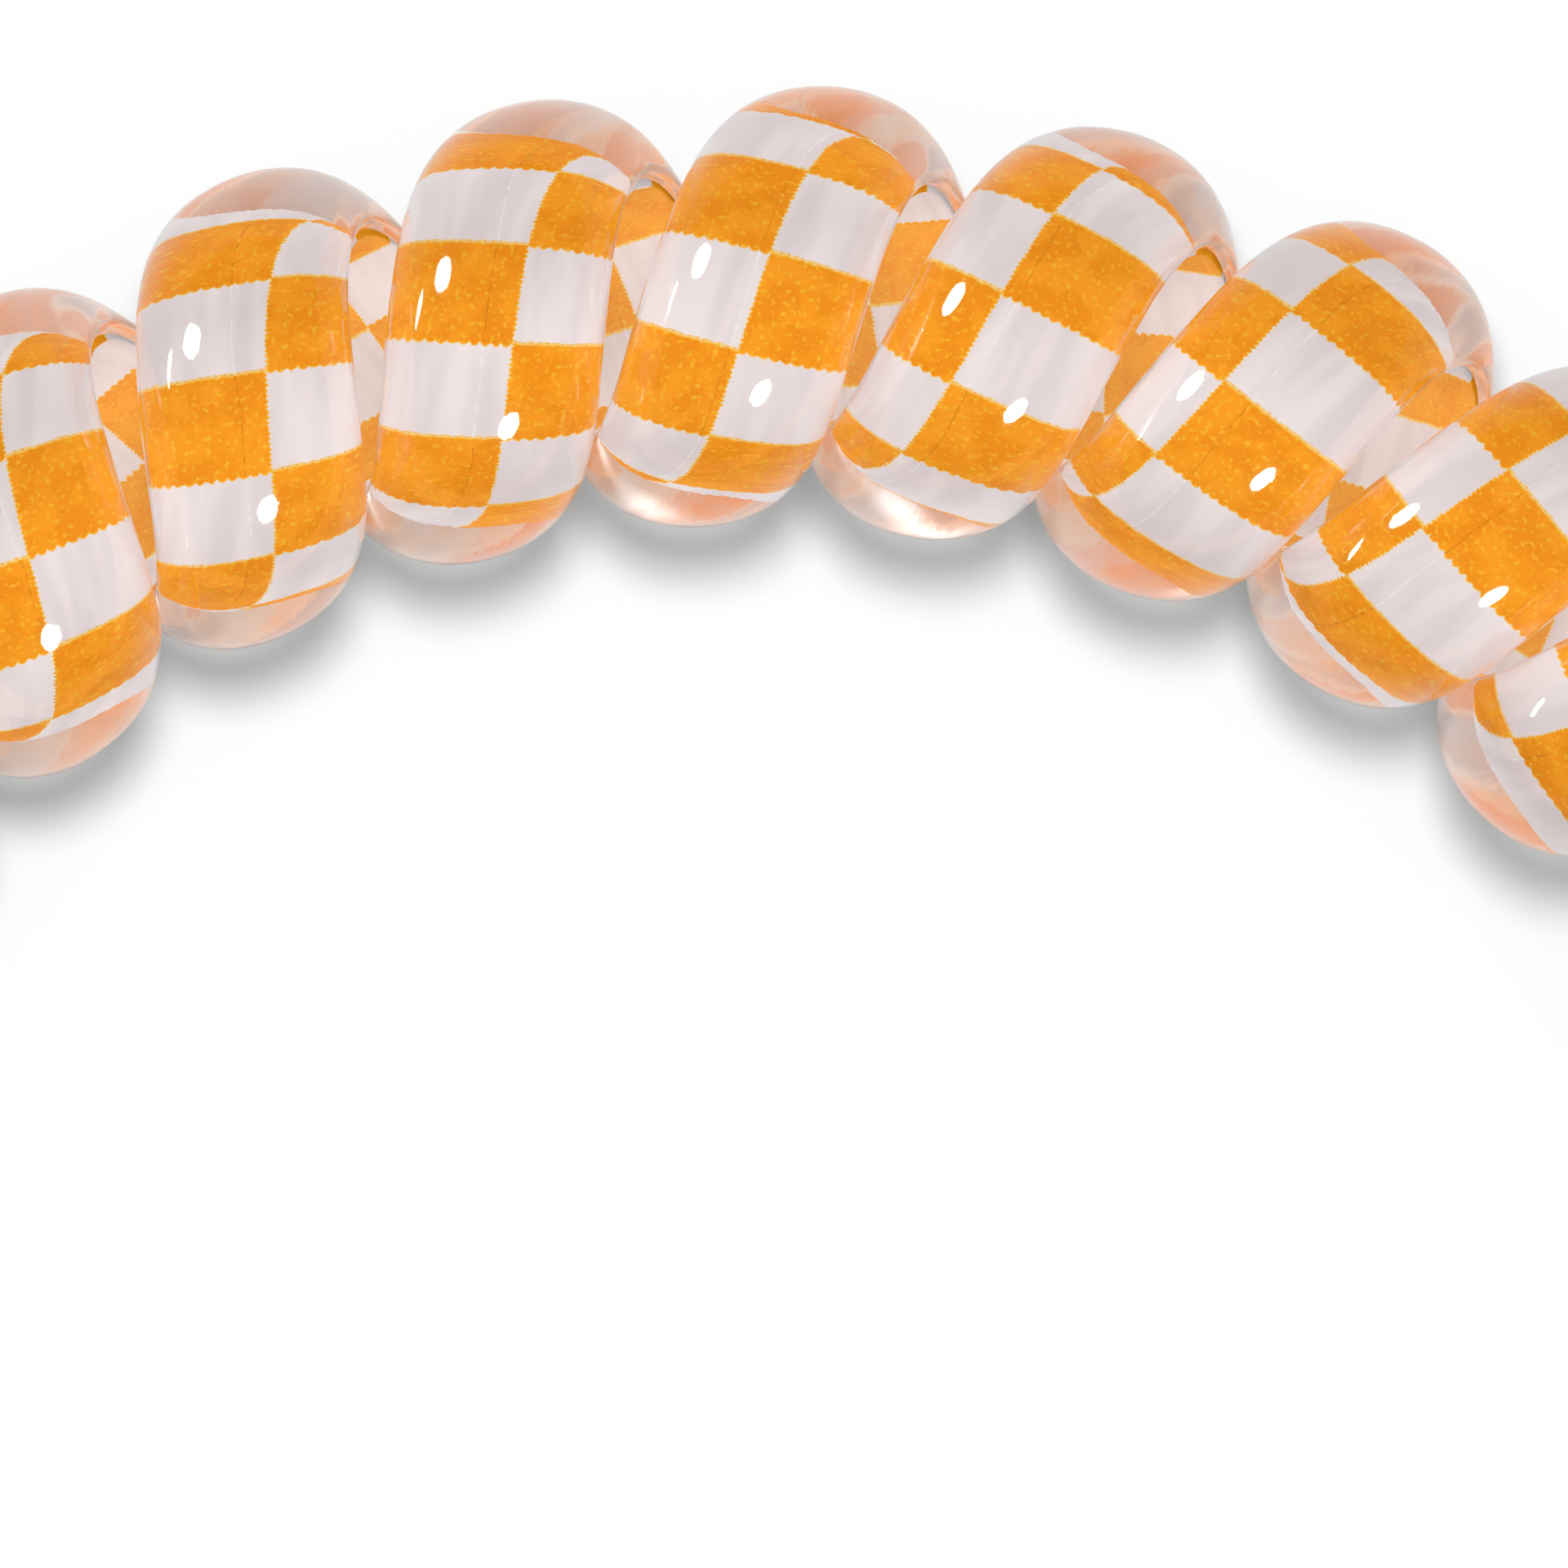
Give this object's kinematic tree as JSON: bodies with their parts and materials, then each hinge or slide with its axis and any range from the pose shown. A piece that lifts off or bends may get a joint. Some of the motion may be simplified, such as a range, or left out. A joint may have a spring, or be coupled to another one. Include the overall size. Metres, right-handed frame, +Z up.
{
  "type": "spiral hair tie",
  "caption": "Elastic spiral hair tie: a clear half-round cord coiled into a closed ring, with a checked film on its flat inner face.",
  "frame": {"origin": "centre of the ring, on the surface that it lies on", "axes": "+Z up along the ring's axis; +X and +Y in the ring's plane, with the uppermost point of one turn on the +Y side"},
  "size_m": [0.0569, 0.057, 0.0084],
  "materials": {
    "clear_tpu": "clear, glossy",
    "printed_film": "orange and white checks, printed"
  },
  "bodies": {
    "root": {"coil": "clear_tpu", "printed_film": "printed_film"}
  },
  "joints": []
}
